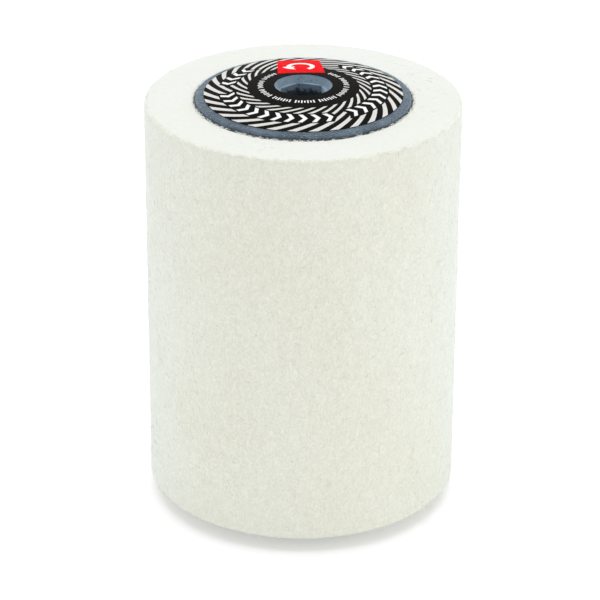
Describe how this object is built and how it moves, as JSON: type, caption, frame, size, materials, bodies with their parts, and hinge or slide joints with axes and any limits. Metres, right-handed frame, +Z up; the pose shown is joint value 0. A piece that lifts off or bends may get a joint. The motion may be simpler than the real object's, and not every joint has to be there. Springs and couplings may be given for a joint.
{
  "type": "felt polishing roller",
  "caption": "Upright felt polishing roller: a thick pressed-felt sleeve glued round a moulded core with a crowned, labelled end and a through hexagonal drive bore.",
  "frame": {"origin": "centre of the core's flat lower end, on the surface that the roller stands on", "axes": "+Z up along the roller's axis, towards the crowned and labelled end; -Y is the front, and the label's panel is at the back, +Y"},
  "size_m": [0.0764, 0.0764, 0.1074],
  "materials": {
    "core_foam": "matte",
    "glue": "matte",
    "felt": "matte",
    "label_print": "satin"
  },
  "bodies": {
    "root": {"core": "core_foam", "adhesive_layer": "glue", "felt_sleeve": "felt", "label": "label_print"}
  },
  "joints": []
}
